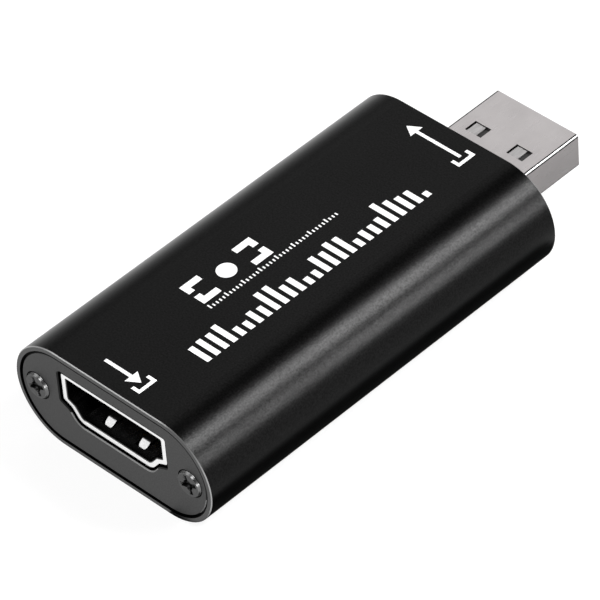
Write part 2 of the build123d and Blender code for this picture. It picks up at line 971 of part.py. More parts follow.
inductor_shares = (0.3, -0.2)
inductor_x, inductor_y = on_board(inductor_shares)

with BuildPart() as power_inductor:
    with Locations((inductor_x, inductor_y, board_top)):
        Box(
            inductor_size,
            inductor_size,
            inductor_height,
            align=(Align.CENTER, Align.CENTER, Align.MIN),
        )
    chamfer(power_inductor.edges().filter_by(Axis.Z), length=inductor_corner)
    with BuildSketch(Plane.XY.offset(board_top + inductor_flange)):
        with Locations((inductor_x, inductor_y)):
            Rectangle(2 * inductor_size, 2 * inductor_size)
            Circle(inductor_size / 2 - inductor_groove, mode=Mode.SUBTRACT)
    extrude(amount=inductor_height - 2 * inductor_flange, mode=Mode.SUBTRACT)
power_inductor.part.label = "power_inductor"
export_step(power_inductor.part, "parts/power_inductor.step")


# Chip capacitors and resistors. Each entry is a place in shares of the board, on_top is the side.

bulk_capacitor_place_shares = ((0.02, 0.4), (-0.32, -0.16))
top_capacitor_place_shares = [(x, y) for x in (-0.12, 0, 0.12) for y in (-0.36, -0.28, -0.2)]
under_capacitor_place_shares = [(x, y) for x in (-0.4, 0.4) for y in (-0.16, -0.05, 0.05, 0.16)]
top_resistor_place_shares = [(x, y) for x in (-0.4, 0.4) for y in (-0.36, -0.28, 0.02, 0.12)]
under_resistor_place_shares = [(x, y) for x in (-0.2, 0, 0.2) for y in (-0.4, 0.4)]


def chip_body(place, on_top, length, width, height):
    """The ceramic middle of a chip part, which lies across the board between its end caps."""
    x, y = on_board(place)
    with Locations((x, y, board_top if on_top else board_underside)):
        Box(
            length - 2 * cap_length,
            width,
            height,
            align=(Align.CENTER, Align.CENTER, Align.MIN if on_top else Align.MAX),
        )


def chip_caps(place, on_top, length, width, height):
    """The two metal end caps of the same chip part."""
    x, y = on_board(place)
    for side in (-1, 1):
        cap_x = x + side * (length - cap_length) / 2
        with Locations((cap_x, y, board_top if on_top else board_underside)):
            Box(
                cap_length,
                width,
                height,
                align=(Align.CENTER, Align.CENTER, Align.MIN if on_top else Align.MAX),
            )


large_size = (large_chip_length, large_chip_width, large_chip_height)
capacitor_size = (small_chip_length, small_chip_width, capacitor_height)
resistor_size = (small_chip_length, small_chip_width, resistor_height)

bulk_capacitor_list = [(place, True, *large_size) for place in bulk_capacitor_place_shares]
capacitor_list = [(place, True, *capacitor_size) for place in top_capacitor_place_shares]
capacitor_list += [(place, False, *capacitor_size) for place in under_capacitor_place_shares]
resistor_list = [(place, True, *resistor_size) for place in top_resistor_place_shares]
resistor_list += [(place, False, *resistor_size) for place in under_resistor_place_shares]

chip_nodes = {
    "bulk_capacitors": bulk_capacitor_list,
    "ceramic_capacitors": capacitor_list,
    "chip_resistors": resistor_list,
}
for name, chips in chip_nodes.items():
    with BuildPart() as chip_bodies:
        for chip in chips:
            chip_body(*chip)
    chip_bodies.part.label = name
    export_step(chip_bodies.part, f"parts/{name}.step")

with BuildPart() as chip_end_caps:
    for chip in bulk_capacitor_list + capacitor_list + resistor_list:
        chip_caps(*chip)
chip_end_caps.part.label = "chip_end_caps"
export_step(chip_end_caps.part, "parts/chip_end_caps.step")


# Surge protection arrays, in a row just behind the HDMI socket

with BuildPart() as surge_arrays:
    with Locations((0, run_front + array_setback, board_top)):
        with GridLocations(array_spacing, 0, array_count, 1):
            Box(
                array_length,
                array_width,
                array_height,
                align=(Align.CENTER, Align.CENTER, Align.MIN),
            )
surge_arrays.part.label = "surge_arrays"
export_step(surge_arrays.part, "parts/surge_arrays.step")
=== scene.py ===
# %% [markdown]
# # A video capture stick, dressed for its photograph
#
# The CAD model gives every solid of the stick its true shape and size. This lesson adds what CAD
# leaves out: the finish of each metal and plastic, the white ink on top, the light and the camera.
# The CAD solids come in as a fixed frame, in metres, with the origin in the middle of the
# housing's bottom face. +Y runs from the video socket to the plug, and +Z is up.

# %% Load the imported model
import json
import math

import bmesh
import bpy
from mathutils import Matrix, Vector


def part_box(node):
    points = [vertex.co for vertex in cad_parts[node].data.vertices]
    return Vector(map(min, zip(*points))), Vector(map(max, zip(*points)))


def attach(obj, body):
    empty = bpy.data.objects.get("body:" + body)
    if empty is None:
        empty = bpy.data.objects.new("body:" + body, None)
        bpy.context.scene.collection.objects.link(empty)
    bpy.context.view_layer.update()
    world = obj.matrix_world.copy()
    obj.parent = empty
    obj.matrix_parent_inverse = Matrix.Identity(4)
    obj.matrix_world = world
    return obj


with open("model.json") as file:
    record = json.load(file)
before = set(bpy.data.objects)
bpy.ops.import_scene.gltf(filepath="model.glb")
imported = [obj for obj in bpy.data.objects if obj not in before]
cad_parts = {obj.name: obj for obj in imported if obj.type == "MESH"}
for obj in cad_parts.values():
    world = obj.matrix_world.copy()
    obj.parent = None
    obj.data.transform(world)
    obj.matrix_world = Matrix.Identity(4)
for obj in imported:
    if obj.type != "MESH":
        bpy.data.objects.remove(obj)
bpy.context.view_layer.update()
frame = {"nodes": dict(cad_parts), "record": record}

solids = frame["nodes"]

# %% [markdown]
# ## Units and colours
#
# Sizes are easier to read in millimetres, and colours are easier to read as the hex values that a
# colour picker shows. Blender wants metres and linear light, so one factor and one small function
# translate.

# %% Units and colours
MM = 0.001


def linear(hex_code):
    """The linear RGBA of an sRGB hex value such as #1e1e1e."""
    shares = [int(hex_code[i : i + 2], 16) / 255 for i in (1, 3, 5)]
    return [s / 12.92 if s <= 0.04045 else ((s + 0.055) / 1.055) ** 2.4 for s in shares] + [1.0]


print("mid grey in linear light:", linear("#808080"))

# %% [markdown]
# ## The camera
#
# A product photograph like this is taken with a long lens from far away, so that the edges stay
# nearly parallel. The camera could be aimed by hand until it looks right. Here its numbers were
# fitted to the outlines instead, because then the sizes can be trusted too: its turn round the
# stick, its height, its roll, its distance, and how far it is pushed sideways and up. The lens is
# given in pixels of a picture that is 600 pixels wide.

# %% Camera
CAMERA_TURN = math.radians(47.038)
CAMERA_HEIGHT = math.radians(42.575)
CAMERA_ROLL = math.radians(-4.675)
CAMERA_DISTANCE = 512.623 * MM
CAMERA_PUSH = (1.132 * MM, 0.642 * MM)
FOCAL_PIXELS = 4834.4
FRAME_PIXELS = 600
AIM = Vector((0, 0, 6 * MM))

back = Vector(
    (
        math.sin(CAMERA_TURN) * math.cos(CAMERA_HEIGHT),
        -math.cos(CAMERA_TURN) * math.cos(CAMERA_HEIGHT),
        math.sin(CAMERA_HEIGHT),
    )
)
level_right = Vector((math.cos(CAMERA_TURN), math.sin(CAMERA_TURN), 0))
level_up = back.cross(level_right)
right = math.cos(CAMERA_ROLL) * level_right + math.sin(CAMERA_ROLL) * level_up
up = math.cos(CAMERA_ROLL) * level_up - math.sin(CAMERA_ROLL) * level_right

lens = bpy.data.cameras.new("studio_camera")
lens.sensor_width = 36
lens.lens = FOCAL_PIXELS * lens.sensor_width / FRAME_PIXELS
lens.clip_start, lens.clip_end = 0.01, 10
camera = bpy.data.objects.new("studio_camera", lens)
bpy.context.scene.collection.objects.link(camera)
place = AIM + back * CAMERA_DISTANCE + right * CAMERA_PUSH[0] + up * CAMERA_PUSH[1]
camera.matrix_world = Matrix.Translation(place) @ Matrix((right, up, back)).transposed().to_4x4()
bpy.context.scene.camera = camera
bpy.context.scene.view_settings.view_transform = "Standard"
print("lens:", round(lens.lens, 1), "mm, standing at", [round(v, 3) for v in place])

# %% [markdown]
# ## Nodes
#
# Every finish and the backdrop are small node trees. One function adds a node and sets its options.
# It fills the inputs with plain values, or with links from the outputs of earlier nodes, and can
# link the new node's outputs onwards. A Mix node has a set of sockets for each kind of value, so
# its colour sockets are known by their places.

# %% Adding a node
MIX_SHARE, MIX_A, MIX_B, MIX_COLOUR = 0, 6, 7, 2


def add_node(tree, kind, inputs=None, feeds=None, **settings):
    """Adds a node. inputs maps sockets to values or outputs, and feeds maps outputs to inputs."""
    node = tree.nodes.new(kind)
    for name, value in settings.items():
        setattr(node, name, value)
    for name, value in (inputs or {}).items():
        if isinstance(value, bpy.types.NodeSocket):
            tree.links.new(value, node.inputs[name])
        else:
            node.inputs[name].default_value = value
    for name, target in (feeds or {}).items():
        tree.links.new(node.outputs[name], target)
    return node


print("colour sockets of a Mix node:", MIX_SHARE, MIX_A, MIX_B, "and", MIX_COLOUR)

# %% [markdown]
# ## The studio
#
# The stick stands on a plain white table in a white room with a darker ceiling. Black aluminium
# shows almost nothing but reflections, so the room matters as much as the lamps do. The room could
# be built of walls, but a ramp from the horizon to the zenith in the world's own shader is simpler
# and never stands in the way. The ramp ends about 49 degrees up, where a direction's upward part
# is 0.75.

# %% Room
HORIZON_LEVEL = 0.75
ZENITH_LEVEL = 0.12
RAMP_END = 0.75

room = bpy.data.worlds.new("white_room")
room.use_nodes = True
room.node_tree.nodes.clear()
bpy.context.scene.world = room
way = add_node(room.node_tree, "ShaderNodeTexCoord")
way_parts = add_node(room.node_tree, "ShaderNodeSeparateXYZ", {"Vector": way.outputs["Generated"]})
room_level = add_node(
    room.node_tree,
    "ShaderNodeMapRange",
    {
        "Value": way_parts.outputs["Z"],
        "From Min": 0.0,
        "From Max": RAMP_END,
        "To Min": HORIZON_LEVEL,
        "To Max": ZENITH_LEVEL,
    },
    interpolation_type="SMOOTHSTEP",
)
room_light = add_node(
    room.node_tree,
    "ShaderNodeBackground",
    {"Color": linear("#ffffff"), "Strength": room_level.outputs["Result"]},
)
add_node(room.node_tree, "ShaderNodeOutputWorld", {"Surface": room_light.outputs["Background"]})
print("room level from", HORIZON_LEVEL, "at the horizon to", ZENITH_LEVEL, "overhead")

# %% [markdown]
# The table has to look pure white. More light would do that, but it would wash out the stick as
# well, so the table helps itself: for rays from the camera, and for reflections, it adds a glow to
# a weaker white paint, which keeps the shadow but makes it faint. All other rays meet plain white
# paint.

# %% Table paint
TABLE_GLOW = 0.84

table_paint = bpy.data.materials.new("white_table_paint")
table_paint.use_nodes = True
tree = table_paint.node_tree
tree.nodes.clear()
ray = add_node(tree, "ShaderNodeLightPath")
seen = add_node(
    tree,
    "ShaderNodeMath",
    {0: ray.outputs["Is Camera Ray"], 1: ray.outputs["Is Glossy Ray"]},
    operation="MAXIMUM",
)
seen_or_through = add_node(
    tree,
    "ShaderNodeMath",
    {0: seen.outputs["Value"], 1: ray.outputs["Is Transmission Ray"]},
    operation="MAXIMUM",
)
paint = add_node(tree, "ShaderNodeBsdfDiffuse", {"Color": linear("#d2d2d2")})
weak_paint = add_node(tree, "ShaderNodeBsdfDiffuse", {"Color": linear("#868686")})
glow = add_node(
    tree, "ShaderNodeEmission", {"Color": linear("#ffffff"), "Strength": TABLE_GLOW}
)
glowing = add_node(
    tree, "ShaderNodeAddShader", {0: weak_paint.outputs["BSDF"], 1: glow.outputs["Emission"]}
)
table_mix = add_node(
    tree,
    "ShaderNodeMixShader",
    {0: seen_or_through.outputs["Value"], 1: paint.outputs["BSDF"], 2: glowing.outputs["Shader"]},
)
add_node(tree, "ShaderNodeOutputMaterial", {"Surface": table_mix.outputs["Shader"]})
print("table glow:", TABLE_GLOW)

# %% [markdown]
# The table itself is one flat square under the stick, large enough to fill the picture from every
# side.

# %% Table
TABLE_SIDE = 6.0

half_side = TABLE_SIDE / 2
table_mesh = bpy.data.meshes.new("table")
table_mesh.from_pydata(
    [(x * half_side, y * half_side, 0) for x, y in ((-1, -1), (1, -1), (1, 1), (-1, 1))],
    [],
    [(0, 1, 2, 3)],
)
table_mesh.materials.append(table_paint)
table = bpy.data.objects.new("table", table_mesh)
bpy.context.scene.collection.objects.link(table)
print("table:", TABLE_SIDE, "m square")

# %% [markdown]
# Two soft boxes stand behind the stick on its right. The half-round side of the housing mirrors
# them as two long soft streaks. A wide dim one on the left lifts the flat top to its dark grey, and
# one in front, on the left, draws the fine bright line on the rim's bevel. Two small ones in front,
# on the right, put two glints on the sloping wall of each screw head. Small round lamps would make
# hard spots on metal, so all are wide rectangles, and each is placed by the direction in which the
# stick sees it.

# %% Lamps
LAMP_DISTANCE = 1.0


def soft_box(name, direction, width, height, level):
    """A wide lamp in that direction from the stick, as bright as level times a white wall."""
    lamp = bpy.data.lights.new(name, "AREA")
    lamp.shape = "RECTANGLE"
    lamp.size, lamp.size_y = width, height
    lamp.energy = level * math.pi * width * height
    lamp_object = bpy.data.objects.new(name, lamp)
    bpy.context.scene.collection.objects.link(lamp_object)
    aim = Vector(direction).normalized()
    lamp_object.location = AIM + aim * LAMP_DISTANCE
    lamp_object.rotation_mode = "QUATERNION"
    lamp_object.rotation_quaternion = aim.to_track_quat("Z", "Y")
    lamp_object.visible_camera = False
    return lamp_object


lamps = [
    soft_box("streak_box_upper", (0.45, 0.5, 0.73), 0.3, 0.34, 30.0),
    soft_box("streak_box_lower", (0.79, 0.5, 0.36), 0.18, 0.34, 23.0),
    soft_box("top_box", (-0.49, 0.5, 0.71), 0.4, 0.6, 1.2),
    soft_box("front_box", (-0.56, -0.45, 0.66), 0.6, 0.7, 2.0),
    soft_box("glint_box_upper", (0.2, -0.4, 0.89), 0.34, 0.3, 6.5),
    soft_box("glint_box_lower", (0.93, -0.34, 0.12), 0.3, 0.2, 9.0),
]
for lamp in lamps:
    print(lamp.name, "power", round(lamp.data.energy, 2), "W")

# %% [markdown]
# The lower half of a shiny side mirrors the table right beside it. Photographers lay cards there,
# out of sight, to set how dark that half looks: here a dark one beside the housing, and a grey one
# beside the plug. A darker finish would do it too, but it would darken the upper half as well. Only
# reflections show the cards, and they throw no shadow.

# %% Cards beside the stick
CARD_LIFT = 0.02 * MM


def card(name, colour, x_range, y_range):
    """A flat card on the table that only reflections show. The ranges are in millimetres."""
    paper = bpy.data.materials.new(name)
    paper.use_nodes = True
    paper.node_tree.nodes.clear()
    print_side = add_node(paper.node_tree, "ShaderNodeBsdfDiffuse", {"Color": linear(colour)})
    add_node(paper.node_tree, "ShaderNodeOutputMaterial", {"Surface": print_side.outputs["BSDF"]})
    (x0, x1), (y0, y1) = x_range, y_range
    mesh = bpy.data.meshes.new(name)
    corners = ((x0, y0), (x1, y0), (x1, y1), (x0, y1))
    mesh.from_pydata([(x * MM, y * MM, CARD_LIFT) for x, y in corners], [], [(0, 1, 2, 3)])
    mesh.materials.append(paper)
    piece = bpy.data.objects.new(name, mesh)
    bpy.context.scene.collection.objects.link(piece)
    for sees in ("camera", "diffuse", "transmission", "volume_scatter", "shadow"):
        setattr(piece, "visible_" + sees, False)
    print(name, "covers x", x_range, "and y", y_range, "mm")


card("dark_card", "#303030", (7.5, 20.0), (-27, 30))
card("grey_card", "#b0b0b0", (6.5, 14.0), (30, 50))

# %% [markdown]
# ## Finishes
#
# A finish starts from the real material. `new_finish` makes a material with one Principled shader
# and sets the numbers that are the same all over the surface straight on its sockets.

# %% Starting a finish
finishes = {}


def new_finish(name, colour, metallic, roughness, **constants):
    """A material with a Principled shader, and the tree, shader and coordinates to build on."""
    material = bpy.data.materials.new(name)
    material.use_nodes = True
    tree = material.node_tree
    tree.nodes.clear()
    shader = add_node(
        tree,
        "ShaderNodeBsdfPrincipled",
        {"Base Color": linear(colour), "Metallic": metallic, "Roughness": roughness, **constants},
    )
    add_node(tree, "ShaderNodeOutputMaterial", {"Surface": shader.outputs["BSDF"]})
    spot = add_node(tree, "ShaderNodeTexCoord")
    print(name, "starts with metallic", metallic, "and roughness", roughness)
    return material, tree, shader, spot


# %% [markdown]
# Nothing made by a machine is quite even: beads, rollers and moulds leave a grain. It could come
# from a picture wrapped round each piece, but that shows seams and repeats. Noise that is worked
# out in the stick's own coordinates shows neither, and its scale is simply one over the grain's
# real size. Noise seldom leaves its middle range, so that range is what gets spread out between a
# dark and a light tone, or between two gloss values.

# %% Grain and its two tones
NOISE_RANGE = {"From Min": 0.3, "From Max": 0.7}


def grain(tree, spot, size, stretch=(1, 1, 1), detail=2.0):
    """Noise whose grains have that size in metres, longer along an axis where stretch is over 1."""
    scaled = add_node(
        tree,
        "ShaderNodeMapping",
        {"Vector": spot.outputs["Object"], "Scale": [1 / (size * s) for s in stretch]},
    )
    noise = add_node(
        tree,
        "ShaderNodeTexNoise",
        {"Vector": scaled.outputs["Vector"], "Scale": 1.0, "Detail": detail},
    )
    return noise.outputs["Fac"]


def two_tones(tree, noise, dark, light):
    """A colour that goes from one hex value to the other with the noise."""
    share = add_node(tree, "ShaderNodeMapRange", {"Value": noise, **NOISE_RANGE})
    tones = add_node(
        tree,
        "ShaderNodeMix",
        {MIX_SHARE: share.outputs["Result"], MIX_A: linear(dark), MIX_B: linear(light)},
        data_type="RGBA",
    )
    return tones.outputs[MIX_COLOUR]


print("noise is spread out from the range", NOISE_RANGE)

# %% [markdown]
# ### Black anodised aluminium
#
# The housing is extruded, blasted with fine beads, cut to length, bevelled, and then anodised and
# dyed black. A black plastic would be the quick way, but the oxide layer keeps the metal's sheen,
# so it is a metal with a very dark colour, and the blasting gives it a soft gloss. The beads' dents
# are about 0.05 mm wide, finer than a pixel here, so the grain is drawn at 0.2 mm. The gloss
# wanders a little over patches 9 mm wide, where the dye took unevenly.

# %% Housing skin
BEAD_GRAIN = 0.2 * MM
DYE_PATCHES = 9 * MM

tube, tree, shader, spot = new_finish(
    "black_anodised_aluminium", "#1a1a1a", 1.0, 0.3, **{"Specular Tint": linear("#efefef")}
)
beads = grain(tree, spot, BEAD_GRAIN)
dyed = two_tones(tree, beads, "#131313", "#1f1f1f")
patches = grain(tree, spot, DYE_PATCHES, detail=1.0)
add_node(
    tree,
    "ShaderNodeMapRange",
    {"Value": patches, **NOISE_RANGE, "To Min": 0.28, "To Max": 0.32},
    {"Result": shader.inputs["Roughness"]},
)
add_node(
    tree,
    "ShaderNodeBump",
    {"Height": beads, "Distance": 0.012 * MM, "Strength": 0.4},
    {"Normal": shader.inputs["Normal"]},
)
finishes["anodised_tube"] = tube

# %% [markdown]
# The sawn rim takes the dye less evenly and looks greyer, and its bevel is cut bright after dyeing.
# Both could be cut off as pieces with a finish of their own. Here one finish tells them apart by
# the normal, which follows the shape wherever it goes: its part along the stick is 1 on the rim, 0
# on the sides and in between on the bevel.

# %% Housing rim and bevel
SQUARE_ON, ASLANT = 0.9, 0.3

normal_parts = add_node(tree, "ShaderNodeSeparateXYZ", {"Vector": spot.outputs["Normal"]})
along = add_node(tree, "ShaderNodeMath", {0: normal_parts.outputs["Y"]}, operation="ABSOLUTE")
on_rim = add_node(
    tree, "ShaderNodeMath", {0: along.outputs["Value"], 1: SQUARE_ON}, operation="GREATER_THAN"
)
off_side = add_node(
    tree, "ShaderNodeMath", {0: along.outputs["Value"], 1: ASLANT}, operation="GREATER_THAN"
)
bevel_or_rim = add_node(
    tree,
    "ShaderNodeMix",
    {MIX_SHARE: on_rim.outputs["Value"], MIX_A: linear("#a0a0a0"), MIX_B: linear("#4e4e4e")},
    data_type="RGBA",
)
add_node(
    tree,
    "ShaderNodeMix",
    {MIX_SHARE: off_side.outputs["Value"], MIX_A: dyed, MIX_B: bevel_or_rim.outputs[MIX_COLOUR]},
    {MIX_COLOUR: shader.inputs["Base Color"]},
    data_type="RGBA",
)
print("housing finish:", len(tree.nodes), "nodes")

# %% [markdown]
# The end plates are stamped from sheet, tumbled and anodised in the same bath. Tumbling leaves a
# coarser, duller skin than bead blasting does, so the roughness is higher and the relief deeper.
# Its pits are as fine as the beads' dents, and are drawn as coarse.

# %% End plate skin
PITS = 0.2 * MM

plate, tree, shader, spot = new_finish("tumbled_anodised_aluminium", "#4c4c4c", 1.0, 0.5)
pits = grain(tree, spot, PITS)
tumbled = two_tones(tree, pits, "#3f3f3f", "#4b4b4b")
add_node(
    tree,
    "ShaderNodeBump",
    {"Height": pits, "Distance": 0.02 * MM, "Strength": 0.6},
    {"Normal": shader.inputs["Normal"]},
)
finishes["anodised_plate"] = plate

# %% [markdown]
# The bevel round the lower half of the socket's cut-out is painted light, a painted highlight along
# its edge, and the other bevels are painted dark, a painted shadow of the gaps round the plate. The
# walls of the cut-outs are painted black, a painted shade in the gaps. The normal tells face, bevel
# and wall apart again, and the height picks out the lower half. That half starts where the lower
# fingers end, and reaches 2.5 mm down.

# %% End plate bevels and walls, painted light and shade
BEVEL_REACH = 2.5 * MM
cutout_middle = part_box("lower_left_finger")[1].z
bevel_low = cutout_middle - BEVEL_REACH

normal_parts = add_node(tree, "ShaderNodeSeparateXYZ", {"Vector": spot.outputs["Normal"]})
along = add_node(tree, "ShaderNodeMath", {0: normal_parts.outputs["Y"]}, operation="ABSOLUTE")
on_face = add_node(
    tree, "ShaderNodeMath", {0: along.outputs["Value"], 1: SQUARE_ON}, operation="GREATER_THAN"
)
off_shaded_wall = add_node(
    tree, "ShaderNodeMath", {0: along.outputs["Value"], 1: ASLANT}, operation="GREATER_THAN"
)
spot_parts = add_node(tree, "ShaderNodeSeparateXYZ", {"Vector": spot.outputs["Object"]})
below = add_node(
    tree, "ShaderNodeMath", {0: spot_parts.outputs["Z"], 1: cutout_middle}, operation="LESS_THAN"
)
near = add_node(
    tree, "ShaderNodeMath", {0: spot_parts.outputs["Z"], 1: bevel_low}, operation="GREATER_THAN"
)
painted_highlight_zone = add_node(
    tree,
    "ShaderNodeMath",
    {0: below.outputs["Value"], 1: near.outputs["Value"]},
    operation="MULTIPLY",
)
# Painted highlight on the lower cut-out bevel (#8c8c8c), and painted shade on the other bevels
# (#2a2a2a).
painted_bevel_light_and_shade = add_node(
    tree,
    "ShaderNodeMix",
    {MIX_SHARE: painted_highlight_zone.outputs["Value"], MIX_A: linear("#2a2a2a"), MIX_B: linear("#8c8c8c")},
    data_type="RGBA",
)
face_or_painted_bevel = add_node(
    tree,
    "ShaderNodeMix",
    {MIX_SHARE: on_face.outputs["Value"], MIX_A: painted_bevel_light_and_shade.outputs[MIX_COLOUR], MIX_B: tumbled},
    data_type="RGBA",
)
# Painted shade: the walls of the cut-outs are painted near black (#0c0c0c).
add_node(
    tree,
    "ShaderNodeMix",
    {
        MIX_SHARE: off_shaded_wall.outputs["Value"],
        MIX_A: linear("#0c0c0c"),
        MIX_B: face_or_painted_bevel.outputs[MIX_COLOUR],
    },
    {MIX_COLOUR: shader.inputs["Base Color"]},
    data_type="RGBA",
)
print("painted highlight bevel from z", round(bevel_low / MM, 2), "to", round(cutout_middle / MM, 2), "mm")

# %% [markdown]
# ### Blackened steel screws
#
# Small machine screws are cold-headed and turned, then blackened. The head keeps faint rings from
# turning, about 0.12 mm apart, round its own axis. A ready-made ring pattern has only one middle,
# and each plate has two screws. Both stand at the same distance from the plate's middle, so the
# rings are worked out from the distance to the head's middle, the left screw as a mirror image of
# the right one.

# %% Screw rings
RING_SPACING = 0.12 * MM
screw_low, screw_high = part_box("front_screws")
head_radius = (screw_high.z - screw_low.z) / 2
screw_x = screw_high.x - head_radius
screw_z = (screw_high.z + screw_low.z) / 2

screw, tree, shader, spot = new_finish("blackened_steel", "#565656", 1.0, 0.3)
spot_parts = add_node(tree, "ShaderNodeSeparateXYZ", {"Vector": spot.outputs["Object"]})
from_middle = add_node(tree, "ShaderNodeMath", {0: spot_parts.outputs["X"]}, operation="ABSOLUTE")
across = add_node(
    tree, "ShaderNodeMath", {0: from_middle.outputs["Value"], 1: screw_x}, operation="SUBTRACT"
)
above = add_node(
    tree, "ShaderNodeMath", {0: spot_parts.outputs["Z"], 1: screw_z}, operation="SUBTRACT"
)
on_head = add_node(
    tree, "ShaderNodeCombineXYZ", {"X": across.outputs["Value"], "Y": above.outputs["Value"]}
)
reach = add_node(
    tree, "ShaderNodeVectorMath", {0: on_head.outputs["Vector"]}, operation="LENGTH"
)
rings = add_node(
    tree,
    "ShaderNodeMath",
    {0: reach.outputs["Value"], 1: 2 * math.pi / RING_SPACING},
    operation="MULTIPLY",
)
ring_height = add_node(tree, "ShaderNodeMath", {0: rings.outputs["Value"]}, operation="SINE")
add_node(
    tree,
    "ShaderNodeBump",
    {"Height": ring_height.outputs["Value"], "Distance": 0.003 * MM, "Strength": 0.5},
    {"Normal": shader.inputs["Normal"]},
)
finishes["black_screw"] = screw
print("screws at x", round(screw_x / MM, 2), "and z", round(screw_z / MM, 2), "mm")

# %% [markdown]
# The sloping wall of the head is painted lighter, a painted highlight that stands for its glints,
# and is made a little smoother. The cross is painted darker, a painted shade in its recess. The wall
# is the outer 0.17 mm of the head. The cross is found by its depth, as a ramp from 0.03 to 0.12 mm
# under the head's face. The depth is measured from the stick's middle without its sign, because
# the rear screws mirror the front ones. The black itself is a little cloudy, like all oil blacking.

# %% Screw colours, painted highlight and shade
SLOPE_WIDTH = 0.17 * MM
CROSS_START, CROSS_END = 0.03 * MM, 0.12 * MM
face_distance = -screw_low.y

smut = grain(tree, spot, 0.5 * MM)
blackened = two_tones(tree, smut, "#3e3e3e", "#494949")
from_centre = add_node(tree, "ShaderNodeMath", {0: spot_parts.outputs["Y"]}, operation="ABSOLUTE")
cross_shade_ramp = add_node(
    tree,
    "ShaderNodeMapRange",
    {
        "Value": from_centre.outputs["Value"],
        "From Min": face_distance - CROSS_START,
        "From Max": face_distance - CROSS_END,
    },
)
painted_highlight_wall = add_node(
    tree,
    "ShaderNodeMath",
    {0: reach.outputs["Value"], 1: head_radius - SLOPE_WIDTH},
    operation="GREATER_THAN",
)
# Painted shade: the cross recess is darkened towards #303030.
shaded_cross = add_node(
    tree,
    "ShaderNodeMix",
    {MIX_SHARE: cross_shade_ramp.outputs["Result"], MIX_A: blackened, MIX_B: linear("#303030")},
    data_type="RGBA",
)
# Painted highlight: the sloping wall of the head is given a lighter colour, #6e6e6e.
add_node(
    tree,
    "ShaderNodeMix",
    {
        MIX_SHARE: painted_highlight_wall.outputs["Value"],
        MIX_A: shaded_cross.outputs[MIX_COLOUR],
        MIX_B: linear("#6e6e6e"),
    },
    {MIX_COLOUR: shader.inputs["Base Color"]},
    data_type="RGBA",
)
add_node(
    tree,
    "ShaderNodeMapRange",
    {"Value": painted_highlight_wall.outputs["Value"], "To Min": 0.3, "To Max": 0.25},
    {"Result": shader.inputs["Roughness"]},
)
print("screw faces stand", round(face_distance / MM, 2), "mm from the middle")

# %% [markdown]
# ### The video socket's metal
#
# The socket's shell is folded from thin copper alloy sheet and plated with nickel. Plating is never
# a perfect mirror: it is slightly cloudy, over patches of about 0.5 mm, which blurs reflections
# more in one place than in the next.

# %% Socket shell skin
shell, tree, shader, spot = new_finish("nickel_plated_sheet", "#efefef", 1.0, 0.26)
cloudy = grain(tree, spot, 0.5 * MM)
add_node(
    tree,
    "ShaderNodeMapRange",
    {"Value": cloudy, **NOISE_RANGE, "To Min": 0.24, "To Max": 0.3},
    {"Result": shader.inputs["Roughness"]},
)
add_node(
    tree,
    "ShaderNodeBump",
    {"Height": cloudy, "Distance": 0.002 * MM, "Strength": 0.3},
    {"Normal": shader.inputs["Normal"]},
)
finishes["tinned_shell"] = shell

# %% [markdown]
# The lip keeps the plating's bright colour. Its top edge is painted dark, a painted shade where the
# rolled edge turns from the light. Inside, the walls are painted darker with depth, a painted shade
# of the cavity, and the floor, whose normal points up, is painted greyer than the walls, a painted
# light where it faces up. The dark could be left to shadow alone, but bright walls would mirror each
# other and glow. Two ramps along the stick paint this shade on all four walls at once: one ends just
# behind the lip, and the other 1.8 mm in.

# %% Socket shell lip and inside, painted shade and light
LIP_EDGE = 0.18 * MM
LIP_END = 0.06 * MM
SHADE_START, SHADE_END = 0.2 * MM, 1.8 * MM
shell_low, shell_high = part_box("hdmi_shell")

spot_parts = add_node(tree, "ShaderNodeSeparateXYZ", {"Vector": spot.outputs["Object"]})
normal_parts = add_node(tree, "ShaderNodeSeparateXYZ", {"Vector": spot.outputs["Normal"]})
shaded_top_edge = add_node(
    tree,
    "ShaderNodeMath",
    {0: spot_parts.outputs["Z"], 1: shell_high.z - LIP_EDGE},
    operation="GREATER_THAN",
)
lit_floor = add_node(
    tree, "ShaderNodeMath", {0: normal_parts.outputs["Z"], 1: SQUARE_ON}, operation="GREATER_THAN"
)
behind_lip = add_node(
    tree,
    "ShaderNodeMapRange",
    {
        "Value": spot_parts.outputs["Y"],
        "From Min": shell_low.y,
        "From Max": shell_low.y + LIP_END,
    },
)
inside = add_node(
    tree,
    "ShaderNodeMapRange",
    {
        "Value": spot_parts.outputs["Y"],
        "From Min": shell_low.y + SHADE_START,
        "From Max": shell_low.y + SHADE_END,
    },
)
# Painted shade: the top edge of the lip is darkened to #343434.
lip = add_node(
    tree,
    "ShaderNodeMix",
    {MIX_SHARE: shaded_top_edge.outputs["Value"], MIX_A: linear("#f4f4f4"), MIX_B: linear("#343434")},
    data_type="RGBA",
)
# Painted shade: just behind the lip the walls are darkened to #404040.
lip_and_shaded_rear = add_node(
    tree,
    "ShaderNodeMix",
    {
        MIX_SHARE: behind_lip.outputs["Result"],
        MIX_A: lip.outputs[MIX_COLOUR],
        MIX_B: linear("#404040"),
    },
    data_type="RGBA",
)
